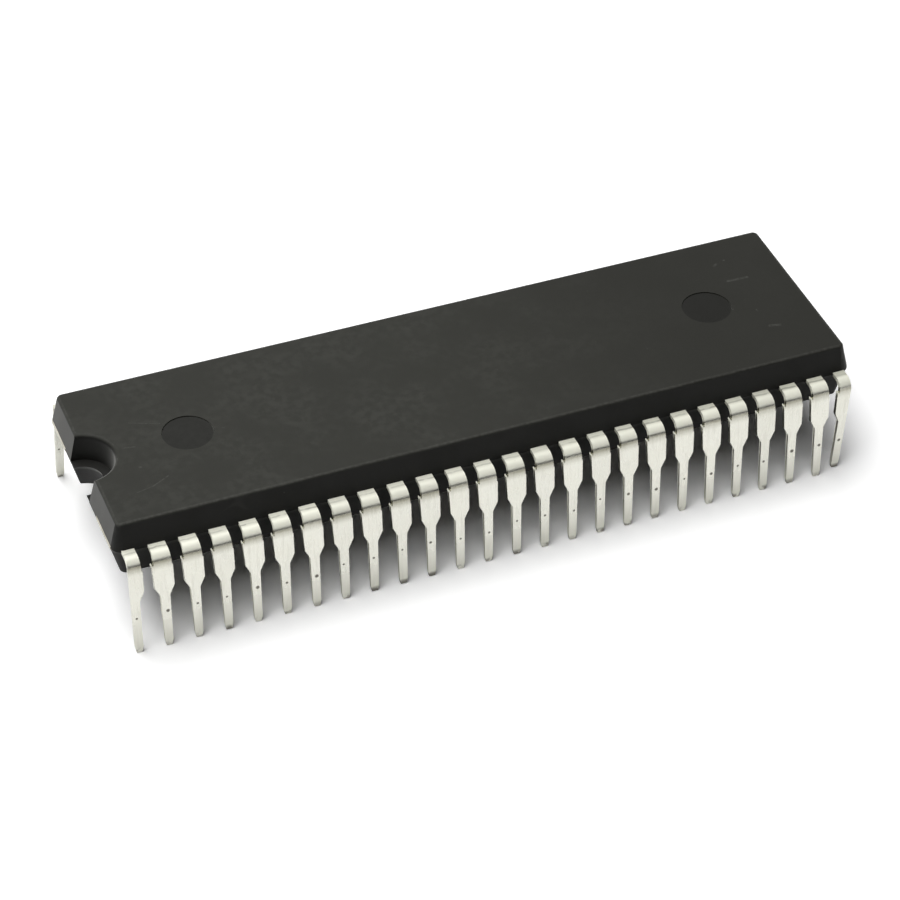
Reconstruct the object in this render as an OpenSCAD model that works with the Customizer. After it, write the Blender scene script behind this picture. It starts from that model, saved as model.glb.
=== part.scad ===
// Dual in-line integrated circuit: a leadframe, a die and its bond wires in one moulded body.
// Millimetres, +Z up. The lead tips stand on z = 0 and the body runs along X.
// The notched end is at -X. Lead 1 is beside it in the -Y row, and the count runs
// along that row to +X and back along the +Y row.

/* [Leads] */
// Number of leads in each row
leads_per_side = 26; // [20:2:26]
// Distance between the centres of neighbouring leads
lead_pitch = 1.778; // [1.6:0.001:2.6]
// Distance between the two rows, middle of metal to middle of metal at the necks
row_spacing = 15.24; // [15:0.01:17.8]
// Thickness of the leadframe metal
lead_t = 0.25; // [0.18:0.01:0.32]
// Width of the flat shoulder that leaves the body
shoulder_w = 1; // [0.8:0.02:1.2]
// Width of the upper leg, between shoulder and taper
leg_w = 1.2; // [1.06:0.02:1.36]
// Width of the pin that enters the board
pin_w = 0.48; // [0.4:0.01:0.7]
// Width of the pin's cut end
tip_w = 0.36; // [0.2:0.01:0.38]
// Height of the tapered point at the pin's end
tip_h = 0.35; // [0.2:0.05:0.8]
// Height of the neck above the tips, which is the length of the pin
pin_h = 3.63; // [2.8:0.01:3.8]
// Height of the taper from leg to pin
taper_h = 0.6; // [0.3:0.05:0.9]
// Outer radius of the bend at the shoulder
bend_r = 0.65; // [0.5:0.01:0.72]
// Outward lean of the legs
splay = 4; // [0:0.25:7]
// Height of the spur where the dam bar was sheared off
spur_h = 0.12; // [0.04:0.01:0.2]

/* [Bent leads] */
// Outward lean of the last lead of the -Y row, which was pushed in
pushed_splay = 0.5; // [0:0.25:4]
// Sideways lean of that lead towards its neighbour
pushed_lean = 3.5; // [0:0.25:4]
// Outward lean of the last lead of the +Y row, which was pulled out
pulled_splay = 8.4; // [4:0.1:10]

/* [Body] */
// Distance from the rows to the sides of the body, at its parting line
side_margin = 1.12; // [0.9:0.01:1.4]
// Distance from the end leads' centres to the ends of the body
end_margin = 0.72; // [0.66:0.01:1.2]
// Height of the body's underside above the lead tips
standoff = 4.34; // [4:0.01:5]
// Height of the moulding below the parting line
lower_h = 2.08; // [1.6:0.02:2.6]
// Height of the moulding above the parting line
upper_h = 1.72; // [1.4:0.02:2.4]
// Draft of the upper walls
upper_draft = 13.5; // [5:0.5:17]
// Draft of the lower walls
lower_draft = 13.5; // [5:0.5:16]
// Radius along the rim of the top and the underside
rim_r = 0.16; // [0.08:0.01:0.3]
// Radius of the four upright corners, at the top and the underside
corner_r = 0.35; // [0.3:0.05:0.6]
// Offset of the lower mould half inside the upper one
parting_step = 0.03; // [0:0.01:0.06]

/* [Notch and ejector marks] */
// Radius of the end notch's wall below its rounded rim
notch_top_r = 1.99; // [1.8:0.01:2.2]
// Radius of the round along the notch's rim
notch_rim_r = 0.3; // [0.1:0.01:0.4]
// Radius of the upper notch at the parting line
notch_mid_r = 1.9; // [1.6:0.02:2]
// Radius of the lower notch at the parting line
notch_ledge_r = 1.27; // [1:0.01:1.5]
// Radius of the lower notch at the underside
notch_base_r = 2.2; // [1.8:0.05:2.4]
// Distance of the notch's axis from the end of the body
notch_inset = 0.12; // [0:0.02:0.4]
// Radius of the ejector marks
mark_r = 1.5; // [0.8:0.02:2]
// Depth of the ejector marks
mark_depth = 0.07; // [0.02:0.01:0.12]
// Distance from the ejector marks to the ends of the body
mark_inset = 6.54; // [4.6:0.02:9]
// Sideways offset of the notch and the ejector marks
mark_shift = 0.15; // [-0.2:0.01:0.2]

/* [Die and paddle] */
// Length of the paddle along the body
paddle_l = 6.8; // [6:0.1:7.6]
// Width of the paddle
paddle_w = 5.2; // [4.8:0.1:5.8]
// Drop of the paddle below the plane of the leads
paddle_drop = 0.3; // [0.2:0.02:0.5]
// Length of the silicon die
die_l = 5.4; // [4:0.1:5.8]
// Width of the silicon die
die_w = 4.2; // [3:0.1:4.6]
// Thickness of the silicon die
die_t = 0.35; // [0.2:0.01:0.5]
// Thickness of the cured adhesive under the die
attach_t = 0.03; // [0.02:0.01:0.06]
// Width that the adhesive shows around the die
attach_rim = 0.12; // [0.05:0.01:0.2]

/* [Leadframe inside the body] */
// Width of the fingers that run in to the die
finger_w = 0.2; // [0.14:0.01:0.22]
// Width of the neck that joins a finger to its shoulder
stub_w = 0.5; // [0.4:0.02:0.6]
// Length of the wide shoulder inside the body
root_l = 0.5; // [0.3:0.05:0.6]
// Clearance between the finger tips and the paddle's ends
tip_gap = 0.35; // [0.3:0.05:0.5]
// Clearance between the finger tips and the paddle's sides
side_tip_gap = 0.72; // [0.5:0.02:0.9]
// Number of finger tips along the paddle's side, in each quarter
side_tips = 5; // [4:1:6]
// Distance between finger tips along the paddle's side
side_tip_pitch = 0.75; // [0.65:0.01:0.8]
// Distance between finger tips at the paddle's end
end_tip_pitch = 0.36; // [0.34:0.01:0.38]
// Width of the tie bars that hold the paddle
tie_w = 0.4; // [0.3:0.02:0.46]
// Width of plastic between the notch and the tie bars
notch_gap = 0.47; // [0.3:0.01:0.6]
// Diameter of a bond wire
wire_d = 0.034; // [0.025:0.001:0.05]
// Diameter of the ball and of the stitch at a bond wire's ends
ball_d = 0.08; // [0.06:0.005:0.1]
// Height of the wire loops above the die
wire_loop = 0.18; // [0.1:0.01:0.3]

/* [Hidden] */
$fn = 48;
lead_count = 2 * leads_per_side;
quarter_leads = leads_per_side / 2;
body_l = (leads_per_side - 1) * lead_pitch + 2 * end_margin;
body_w = row_spacing - 2 * side_margin;
overrun = 1;

// Small excess by which rounds cross the faces that they blend into
cross_over = 0.01;
cross_angle = 15;

// Heights, from the tips up
parting_z = standoff + lower_h;
lead_low_z = parting_z - lead_t / 2;
lead_top_z = parting_z + lead_t / 2;
top_z = parting_z + upper_h;
paddle_z = lead_low_z - paddle_drop;
attach_z = paddle_z + lead_t;
die_z = attach_z + attach_t;
die_top_z = die_z + die_t;

// Bend and leg, as distances from the axis of the bend
bend_in_r = bend_r - lead_t;
bend_mid_r = bend_r - lead_t / 2;
bend_z = lead_top_z - bend_r;
neck_run = leg_run(splay) - pin_h;
bend_y = row_spacing / 2 - bend_mid_r * cos(splay) - neck_run * sin(splay);

// The sheared dam bar's nick beside its spur, as shares of the widening from shoulder to leg
nick_from = 0.4;
nick_to = 0.8;
nick_rise = spur_h / 4;
heel_h = 2 * spur_h;

// Tie bars: one centre bar at each end, forked round the notch, with a foot in the end wall
fork_y = notch_mid_r + notch_gap + tie_w / 2;
fork_x = body_l / 2 - notch_inset - notch_mid_r - notch_gap - tie_w;
foot_gap = 0.13;
foot_rise = 0.6;
foot_margin = 0.62;
foot_from_y = fork_y + foot_rise;
foot_to_y = body_w / 2 - foot_margin;

// Ramps of the centre bars, from the paddle up to the plane of the leads
ramp_lead = 0.15;
ramp_run = 0.45;
ramp_skew = lead_t * tan(atan(paddle_drop / ramp_run) / 2);

// Fingers: each one leaves its stub at a knee and ends on a ring round the paddle
knee_margin = 1;
knee_gap = 0.75;
knee_y = body_w / 2 - knee_margin;
knee_step = (knee_y - fork_y - tie_w / 2 - knee_gap) / (quarter_leads - 1);
ring_x = paddle_l / 2 + tip_gap;
ring_y = paddle_w / 2 + side_tip_gap;
first_side_tip = 0.3;
first_end_tip = 0.5;
bond_inset = 0.12;
bond_corner = 0.36;
wire_land = 0.25;
wire_facets = 16;

function lead_name(n) = str("lead_", n < 10 ? "0" : "", n);
function lead_x(place) = (place - (leads_per_side + 1) / 2) * lead_pitch;

// Leg length from the end of the bend to a tip that stands on z = 0
function leg_run(angle) = (bend_z + bend_in_r * sin(angle)) / cos(angle);

// Place in its quarter of the frame, counted outwards from the middle of the body
function quarter_place(place) = place <= quarter_leads
    ? quarter_leads - place
    : place - quarter_leads - 1;

// Knee and tip of a finger in the quarter where x and y are positive
function knee(q) = [(q + 0.5) * lead_pitch, knee_y - q * knee_step];
function finger_tip(q) = q < side_tips
    ? [first_side_tip + q * side_tip_pitch, ring_y]
    : [ring_x, first_end_tip + (quarter_leads - 1 - q) * end_tip_pitch];

// Bond pad that belongs to a finger tip, on the rim of the die
function bond_pad(q) = let (tip = finger_tip(q),
                            side_end = first_side_tip + (side_tips - 1) * side_tip_pitch,
                            end_end = first_end_tip + (quarter_leads - 1 - side_tips) * end_tip_pitch)
    q < side_tips
    ? [tip[0] * (die_l / 2 - bond_corner) / side_end, die_w / 2 - bond_inset]
    : [die_l / 2 - bond_inset, tip[1] * (die_w / 2 - bond_corner) / end_end];

// Flat strip between two points of the plan
module strip(from, to, width) {
    run = to - from;
    translate(from) rotate(atan2(run[1], run[0])) translate([0, -width / 2]) square([norm(run), width]);
}

// Straight round rod between two points in space
module rod(from, to, diameter) {
    run = to - from;
    flat = norm([run[0], run[1]]);
    translate(from) rotate([0, atan2(flat, run[2]), atan2(run[1], run[0])])
        cylinder(d = diameter, h = norm(run), $fn = wire_facets);
}

// Half widths of a lead on its -X and +X sides. The end leads are trimmed to the pin's width outside
function low_side(place, width) = (place == 1 ? pin_w : width) / 2;
function high_side(place, width) = (place == leads_per_side ? pin_w : width) / 2;

// Plan of the part of a -Y row lead that stays in the plane of the frame
module lead_plan(place) {
    x = lead_x(place);
    low = low_side(place, shoulder_w);
    high = high_side(place, shoulder_w);
    q = quarter_place(place);
    side = x < 0 ? -1 : 1;
    stub_low = place == 1 ? low : stub_w / 2;
    stub_high = place == leads_per_side ? high : stub_w / 2;
    translate([x - low, -bend_y]) square([low + high, bend_y - body_w / 2 + root_l]);
    translate([x - stub_low, -body_w / 2]) square([stub_low + stub_high, body_w / 2 - knee(q)[1]]);
    strip([side * knee(q)[0], -knee(q)[1] - stub_w / 2],
          [side * finger_tip(q)[0], -finger_tip(q)[1]], finger_w);
}

// Outline of a leg, x across and y down along the metal, from the bend to the tip
module leg_outline(place, run, lean) {
    low = low_side(place, shoulder_w);
    high = high_side(place, shoulder_w);
    low_leg = low_side(place, leg_w);
    high_leg = high_side(place, leg_w);
    neck = run - pin_h;
    flare = (leg_w - shoulder_w) / 2;
    points = [
        [-low, 0],
        if (place > 1) [-low, spur_h],
        if (place > 1) [-low - nick_from * flare, spur_h],
        if (place > 1) [-low - nick_to * flare, 0],
        if (place > 1) [-low_leg, nick_rise],
        [-low_leg, neck - taper_h],
        [-pin_w / 2, neck],
        [-pin_w / 2, run - tip_h],
        [-tip_w / 2, run],
        [tip_w / 2, run],
        [pin_w / 2, run - tip_h],
        [pin_w / 2, neck],
        [high_leg, neck - taper_h],
        [high_leg, heel_h],
        [high, spur_h],
        [high, 0]
    ];
    polygon([for (p = points) [p[0] - p[1] * tan(lean), p[1]]]);
}

// A lead of the -Y row: finger, shoulder, bend and leg in one strip of metal
module row_lead(place, angle, lean) {
    x = lead_x(place);
    low = low_side(place, shoulder_w);
    high = high_side(place, shoulder_w);
    translate([0, 0, lead_low_z]) linear_extrude(lead_t) lead_plan(place);
    translate([x, -bend_y, bend_z]) {
        rotate([90, 0, -90]) rotate(angle) rotate_extrude(angle = 90 - angle)
            translate([bend_in_r, -high]) square([lead_t, low + high]);
        rotate([-angle, 0, 0]) translate([0, -bend_in_r, 0]) rotate([90, 0, 0])
            linear_extrude(lead_t) mirror([0, 1, 0]) leg_outline(place, leg_run(angle), lean);
    }
}

module lead(n) {
    back = n > leads_per_side;
    place = back ? n - leads_per_side : n;
    last = place == leads_per_side;
    angle = last ? (back ? pulled_splay : pushed_splay) : splay;
    lean = last && !back ? pushed_lean : 0;
    color("gainsboro") rotate(back ? 180 : 0) row_lead(place, angle, lean);
}

// Fork of a tie bar, drawn for the +X end: leg, foot in the end wall, and the cross bar's half
module fork_plan() {
    end_x = body_l / 2;
    foot_x = lead_x(leads_per_side) + pin_w / 2 + foot_gap;
    polygon([
        [fork_x, -tie_w / 2],
        [fork_x, fork_y + tie_w / 2],
        [foot_x - tie_w / 2, fork_y + tie_w / 2],
        [foot_x, foot_from_y],
        [foot_x, foot_to_y],
        [end_x, foot_to_y],
        [end_x, foot_from_y],
        [end_x - tie_w, fork_y - tie_w / 2],
        [fork_x + tie_w, fork_y - tie_w / 2],
        [fork_x + tie_w, -tie_w / 2]
    ]);
}

// Paddle under the die, with its two tie bars stepped up to the plane of the leads
module paddle_shape() {
    ramp_from = paddle_l / 2 + ramp_lead;
    ramp_to = ramp_from + ramp_run;
    translate([-paddle_l / 2, -paddle_w / 2, paddle_z]) cube([paddle_l, paddle_w, lead_t]);
    for (turn = [0, 180]) rotate(turn) {
        rotate([90, 0, 0]) linear_extrude(tie_w, center = true) polygon([
            [paddle_l / 2 - tie_w, paddle_z],
            [ramp_from, paddle_z],
            [ramp_to, lead_low_z],
            [fork_x + tie_w / 2, lead_low_z],
            [fork_x + tie_w / 2, lead_top_z],
            [ramp_to - ramp_skew, lead_top_z],
            [ramp_from - ramp_skew, paddle_z + lead_t],
            [paddle_l / 2 - tie_w, paddle_z + lead_t]
        ]);
        translate([0, 0, lead_low_z]) linear_extrude(lead_t) {
            fork_plan();
            mirror([0, 1]) fork_plan();
        }
    }
}

module attach_shape() {
    size = [die_l + 2 * attach_rim, die_w + 2 * attach_rim];
    translate([-size[0] / 2, -size[1] / 2, attach_z]) cube([size[0], size[1], attach_t]);
}

module die_shape() {
    translate([-die_l / 2, -die_w / 2, die_z]) cube([die_l, die_w, die_t]);
}

// A bond wire: a ball on its pad, a short rise, a run down, and a stitch pressed on the finger
module wire(q) {
    pad = bond_pad(q);
    tip = finger_tip(q);
    away = knee(q) - tip;
    land = tip + away * wire_land / norm(away);
    peak = [pad[0], pad[1], die_top_z + wire_loop];
    translate([pad[0], pad[1], die_top_z]) cylinder(d = ball_d, h = wire_d, $fn = wire_facets);
    rod([pad[0], pad[1], die_top_z], peak + [0, 0, wire_d / 2], wire_d);
    rod(peak, [land[0], land[1], lead_top_z + wire_d / 2], wire_d);
    translate([land[0], land[1], lead_top_z]) cylinder(d = ball_d, h = wire_d, $fn = wire_facets);
}

module wires_shape() {
    for (mx = [0, 1], my = [0, 1], q = [0:quarter_leads - 1])
        mirror([mx, 0, 0]) mirror([0, my, 0]) wire(q);
}

// Section of a moulded half: a wall with draft and a rounded rim, standing on the parting line
module drafted_profile(half, height, draft) {
    arc_x = half - (height - rim_r) * tan(draft) - rim_r / cos(draft);
    arc_y = height - rim_r;
    rim = [arc_x + rim_r * cos(draft), arc_y + rim_r * sin(draft)];
    polygon([[-half, 0], [half, 0], rim, [arc_x, height], [-arc_x, height], [-rim[0], rim[1]]]);
    for (side = [-1, 1]) translate([side * arc_x, arc_y]) circle(rim_r);
}

// Plan limits of a moulded half: two crossed blocks, with a drafted round post in each corner
module corner_limits(length, width, height, draft) {
    post_r = corner_r + height * tan(draft);
    cube([length - 2 * post_r, width + overrun, 2 * (height + overrun)], center = true);
    cube([length + overrun, width - 2 * post_r, 2 * (height + overrun)], center = true);
    for (x = [-1, 1], y = [-1, 1]) translate([x * (length / 2 - post_r), y * (width / 2 - post_r), 0])
        rotate_extrude() intersection() {
            drafted_profile(post_r + cross_over, height, draft);
            square([2 * post_r, height]);
        }
}

// One moulded half above its parting plane: both sections crossed, with the corners rounded
module moulded_half(length, width, height, draft) {
    intersection() {
        rotate([90, 0, 90]) linear_extrude(length + overrun, center = true)
            drafted_profile(width / 2, height, draft);
        rotate([90, 0, 0]) linear_extrude(width + overrun, center = true)
            drafted_profile(length / 2, height, draft);
        corner_limits(length, width, height, draft);
    }
}

// Section of the upper notch core: a drafted wall that flares into a round along the rim
module notch_section() {
    rim_x = notch_top_r + notch_rim_r;
    rim_z = upper_h - notch_rim_r * cos(cross_angle);
    difference() {
        square([rim_x, upper_h + overrun]);
        polygon([[notch_mid_r, -overrun], [notch_mid_r, 0], [notch_top_r, rim_z],
                 [rim_x + overrun, rim_z], [rim_x + overrun, -overrun]]);
        translate([rim_x, rim_z]) circle(notch_rim_r);
    }
}

// Notch cores of the two mould halves, each one widening away from the parting line
module notch_cut() {
    widening = (notch_base_r - notch_ledge_r) / lower_h;
    translate([notch_inset - body_l / 2, mark_shift, parting_z]) {
        rotate_extrude($fn = 96) notch_section();
        mirror([0, 0, 1]) cylinder(r1 = notch_ledge_r, r2 = notch_base_r + widening * overrun,
                                   h = lower_h + overrun, $fn = 96);
    }
}

// Shallow marks left by the ejector pins on the top and the underside
module ejector_marks() {
    for (x = [-1, 1], z = [top_z - mark_depth, standoff + mark_depth - overrun])
        translate([x * (body_l / 2 - mark_inset), mark_shift, z])
            cylinder(r = mark_r, h = overrun, $fn = 64);
}

module mould_body() {
    color("#3c3c38") difference() {
        translate([0, 0, parting_z]) {
            moulded_half(body_l, body_w, upper_h, upper_draft);
            rotate([180, 0, 0])
                moulded_half(body_l - 2 * parting_step, body_w - 2 * parting_step, lower_h, lower_draft);
        }
        notch_cut();
        ejector_marks();
        for (turn = [0, 180], place = [1:leads_per_side]) rotate(turn)
            translate([0, 0, lead_low_z]) linear_extrude(lead_t) lead_plan(place);
        paddle_shape();
        attach_shape();
        die_shape();
        wires_shape();
    }
}

module die_paddle() { color("darkkhaki") paddle_shape(); }
module die_attach() { color("lightgrey") attach_shape(); }
module silicon_die() { color("slategray") die_shape(); }
module bond_wires() { color("gold") wires_shape(); }

for (n = [1:lead_count]) lead(n);
die_paddle();
die_attach();
silicon_die();
bond_wires();
mould_body();
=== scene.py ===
import math

import bmesh
import bpy
from mathutils import Matrix, Vector


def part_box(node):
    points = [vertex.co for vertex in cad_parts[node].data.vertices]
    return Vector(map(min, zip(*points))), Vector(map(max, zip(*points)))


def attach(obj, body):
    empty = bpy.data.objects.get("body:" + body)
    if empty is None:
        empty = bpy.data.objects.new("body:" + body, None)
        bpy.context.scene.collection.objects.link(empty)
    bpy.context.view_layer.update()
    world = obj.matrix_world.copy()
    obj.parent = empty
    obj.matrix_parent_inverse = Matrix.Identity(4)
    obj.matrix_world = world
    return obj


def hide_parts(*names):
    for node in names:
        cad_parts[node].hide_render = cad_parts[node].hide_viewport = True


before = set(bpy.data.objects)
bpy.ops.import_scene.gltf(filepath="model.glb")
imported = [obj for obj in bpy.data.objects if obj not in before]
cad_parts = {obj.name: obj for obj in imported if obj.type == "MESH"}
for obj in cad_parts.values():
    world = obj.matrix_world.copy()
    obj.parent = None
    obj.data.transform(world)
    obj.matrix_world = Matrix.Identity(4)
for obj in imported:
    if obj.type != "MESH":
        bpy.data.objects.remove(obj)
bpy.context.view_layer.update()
print("stage: packed model loaded,", len(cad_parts), "nodes")

mm = 0.001
leadPitch = 1.778  # mm, from lead to lead
leadNodes = sorted(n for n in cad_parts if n.startswith("lead_"))
bodyLow, bodyHigh = (Vector(corner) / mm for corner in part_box("mould_body"))

# Camera: where the photograph was taken from, fitted to the leads' pitch
cameraSetup = {
    "place": (-53.017, -131.231, 123.321),  # mm
    "aim": (-2.150, -4.769, 6.400),  # mm, on the picture's centre
    "roll": 0.685,  # degrees
    "lens": 124.07,  # mm
    "sensor": 36,  # mm
    "clip": (0.01, 10),  # m
}


def makeCamera(setup):
    data = bpy.data.cameras.new("photoCamera")
    data.lens = setup["lens"]
    data.sensor_width = setup["sensor"]
    data.clip_start, data.clip_end = setup["clip"]
    data.dof.use_dof = False
    camera = bpy.data.objects.new("photoCamera", data)
    bpy.context.scene.collection.objects.link(camera)
    place = Vector(setup["place"]) * mm
    look = (Vector(setup["aim"]) * mm - place).to_track_quat("-Z", "Y")
    turn = look.to_matrix().to_4x4() @ Matrix.Rotation(math.radians(setup["roll"]), 4, "Z")
    camera.matrix_world = Matrix.Translation(place) @ turn
    bpy.context.scene.camera = camera


makeCamera(cameraSetup)
print("stage: camera placed")


# Small helpers for building node trees
def addNode(tree, kind, **settings):
    node = tree.nodes.new(kind)
    for name, value in settings.items():
        setattr(node, name, value)
    return node


def feed(tree, target, source):
    # a socket is linked, anything else is set as the value
    if isinstance(source, bpy.types.NodeSocket):
        tree.links.new(source, target)
    else:
        target.default_value = source


def mathNode(tree, operation, *values):
    node = addNode(tree, "ShaderNodeMath", operation=operation)
    for slot, value in enumerate(values):
        feed(tree, node.inputs[slot], value)
    return node.outputs[0]


def minus(tree, value, less):
    return mathNode(tree, "SUBTRACT", value, less)


def magnitude(tree, value):
    return mathNode(tree, "ABSOLUTE", value)


def capped(tree, value):
    return mathNode(tree, "MINIMUM", value, 1.0)


def product(tree, *values):
    result = values[0]
    for value in values[1:]:
        result = mathNode(tree, "MULTIPLY", result, value)
    return result


def total(tree, *values):
    result = values[0]
    for value in values[1:]:
        result = mathNode(tree, "ADD", result, value)
    return result


def vectorMath(tree, operation, *values):
    node = addNode(tree, "ShaderNodeVectorMath", operation=operation)
    for slot, value in enumerate(values):
        feed(tree, node.inputs[slot], value)
    single = operation in ("LENGTH", "DISTANCE", "DOT_PRODUCT")
    return node.outputs["Value" if single else "Vector"]


def pointAt(tree, **axes):
    node = addNode(tree, "ShaderNodeCombineXYZ")
    for axis, source in axes.items():
        feed(tree, node.inputs[axis], source)
    return node.outputs[0]


def ranged(tree, value, fromLow, fromHigh, toLow=0.0, toHigh=1.0):
    node = addNode(tree, "ShaderNodeMapRange", interpolation_type="SMOOTHSTEP")
    names = ("Value", "From Min", "From Max", "To Min", "To Max")
    for name, source in zip(names, (value, fromLow, fromHigh, toLow, toHigh)):
        feed(tree, node.inputs[name], source)
    return node.outputs["Result"]


def mixedColour(tree, factor, first, second):
    node = addNode(tree, "ShaderNodeMix", data_type="RGBA")
    feed(tree, node.inputs[0], factor)
    feed(tree, node.inputs[6], first)  # the colour sockets come after the plain ones
    feed(tree, node.inputs[7], second)
    return node.outputs[2]


def axesOf(tree, vector):
    node = addNode(tree, "ShaderNodeSeparateXYZ")
    feed(tree, node.inputs[0], vector)
    return node.outputs["X"], node.outputs["Y"], node.outputs["Z"]


def noiseValue(tree, vector, scale, detail, roughness):
    node = addNode(tree, "ShaderNodeTexNoise")
    feed(tree, node.inputs["Vector"], vector)
    feed(tree, node.inputs["Scale"], scale)
    feed(tree, node.inputs["Detail"], detail)
    feed(tree, node.inputs["Roughness"], roughness)
    return node.outputs["Fac"]


def newGroup(name, inputs, outputs):
    tree = bpy.data.node_groups.new(name, "ShaderNodeTree")
    for label, value in inputs.items():
        kind = "NodeSocketVector" if isinstance(value, tuple) else "NodeSocketFloat"
        socket = tree.interface.new_socket(label, in_out="INPUT", socket_type=kind)
        socket.default_value = value
    for label in outputs:
        tree.interface.new_socket(label, in_out="OUTPUT", socket_type="NodeSocketFloat")
    given = addNode(tree, "NodeGroupInput").outputs
    return tree, given, addNode(tree, "NodeGroupOutput").inputs


def useGroup(tree, group, **inputs):
    node = addNode(tree, "ShaderNodeGroup", node_tree=group)
    for name, source in inputs.items():
        feed(tree, node.inputs[name], source)
    return node.outputs


# Textures that several materials share
textureLook = {
    "grainNoise": (3.0, 0.6),  # detail and roughness, here and below
    "blotchNoise": (3.0, 0.55),
    "blotchLevels": (0.32, 0.68),
    "speckCore": 0.4,  # share of a speck's radius that is full
    "hairNoise": (1.0, 0.4),
    "breakNoise": (2.0, 0.6),
    "breakScale": 1.7,  # how much finer the breaks are than the hairlines' wander
    "breakLevels": (0.72, 0.74),
    "breakReach": 0.3,  # how far the amount lowers the first of the two
    "strokeCore": 0.25,  # share of a stroke's width that is full
}


# Grain: fine relief, and a slow blotch that goes with it
def makeGrainGroup(look):
    inputs = {"Place": (0, 0, 0), "Size": 0.1, "Blotch": 2.0}
    tree, given, result = newGroup("surfaceGrain", inputs, ["Height", "Patch"])
    fineScale = mathNode(tree, "DIVIDE", 1.0, given["Size"])
    fine = noiseValue(tree, given["Place"], fineScale, *look["grainNoise"])
    slowScale = mathNode(tree, "DIVIDE", 1.0, given["Blotch"])
    slow = noiseValue(tree, given["Place"], slowScale, *look["blotchNoise"])
    feed(tree, result["Height"], fine)
    feed(tree, result["Patch"], ranged(tree, slow, *look["blotchLevels"]))
    return tree


# Specks: round spots, a share of them left out at random
def makeSpeckGroup(look):
    inputs = {"Place": (0, 0, 0), "Spacing": 1.0, "Size": 0.06, "Share": 0.5}
    tree, given, result = newGroup("dustSpecks", inputs, ["Mask"])
    cells = addNode(tree, "ShaderNodeTexVoronoi")
    feed(tree, cells.inputs["Vector"], given["Place"])
    feed(tree, cells.inputs["Scale"], mathNode(tree, "DIVIDE", 1.0, given["Spacing"]))
    away = product(tree, cells.outputs["Distance"], given["Spacing"])
    spot = ranged(tree, away, given["Size"], product(tree, given["Size"], look["speckCore"]))
    draw = axesOf(tree, cells.outputs["Color"])[0]
    chosen = mathNode(tree, "LESS_THAN", draw, given["Share"])
    feed(tree, result["Mask"], product(tree, spot, chosen))
    return tree


# Hairlines: thin wandering scratches, broken up into short lengths
def makeHairlineGroup(look):
    inputs = {"Place": (0, 0, 0), "Spread": 3.0, "Width": 0.01, "Amount": 0.5}
    tree, given, result = newGroup("hairlines", inputs, ["Mask"])
    wanderScale = mathNode(tree, "DIVIDE", 1.0, given["Spread"])
    field = noiseValue(tree, given["Place"], wanderScale, *look["hairNoise"])
    line = magnitude(tree, minus(tree, field, 0.5))
    breakScale = mathNode(tree, "DIVIDE", look["breakScale"], given["Spread"])
    breaks = noiseValue(tree, given["Place"], breakScale, *look["breakNoise"])
    broken, whole = look["breakLevels"]
    broken = minus(tree, broken, product(tree, given["Amount"], look["breakReach"]))
    shown = ranged(tree, breaks, broken, whole)
    feed(tree, result["Mask"], product(tree, ranged(tree, line, given["Width"], 0.0), shown))
    return tree


# Stroke: a straight mark between two points; a short one is a speck
def makeStrokeGroup(look):
    inputs = {"Place": (0, 0, 0), "From": (0, 0, 0), "To": (0, 0, 0), "Width": 0.05}
    tree, given, result = newGroup("strokeMark", inputs, ["Mask"])
    run = vectorMath(tree, "SUBTRACT", given["To"], given["From"])
    offset = vectorMath(tree, "SUBTRACT", given["Place"], given["From"])
    reach = vectorMath(tree, "DOT_PRODUCT", offset, run)
    share = mathNode(tree, "DIVIDE", reach, vectorMath(tree, "DOT_PRODUCT", run, run))
    held = capped(tree, mathNode(tree, "MAXIMUM", share, 0.0))
    nearest = addNode(tree, "ShaderNodeVectorMath", operation="SCALE")
    feed(tree, nearest.inputs["Vector"], run)
    feed(tree, nearest.inputs["Scale"], held)
    away = vectorMath(tree, "DISTANCE", offset, nearest.outputs["Vector"])
    core = product(tree, given["Width"], look["strokeCore"])
    feed(tree, result["Mask"], ranged(tree, away, given["Width"], core))
    return tree


grainGroup = makeGrainGroup(textureLook)
speckGroup = makeSpeckGroup(textureLook)
hairlineGroup = makeHairlineGroup(textureLook)
strokeGroup = makeStrokeGroup(textureLook)
print("stage: shared textures made")


def newMaterial(name, settings):
    material = bpy.data.materials.new(name)
    material.use_nodes = True
    tree = material.node_tree
    shader = tree.nodes["Principled BSDF"]
    for socket, value in settings.items():
        shader.inputs[socket].default_value = value
    position = addNode(tree, "ShaderNodeTexCoord").outputs["Object"]
    millimetres = vectorMath(tree, "MULTIPLY", position, (1 / mm, 1 / mm, 1 / mm))
    return material, tree, shader, millimetres


def bumped(tree, shader, height, depth):
    node = addNode(tree, "ShaderNodeBump")
    node.inputs["Strength"].default_value = 1.0
    node.inputs["Distance"].default_value = depth * mm
    feed(tree, node.inputs["Height"], height)
    tree.links.new(node.outputs["Normal"], shader.inputs["Normal"])


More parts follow.
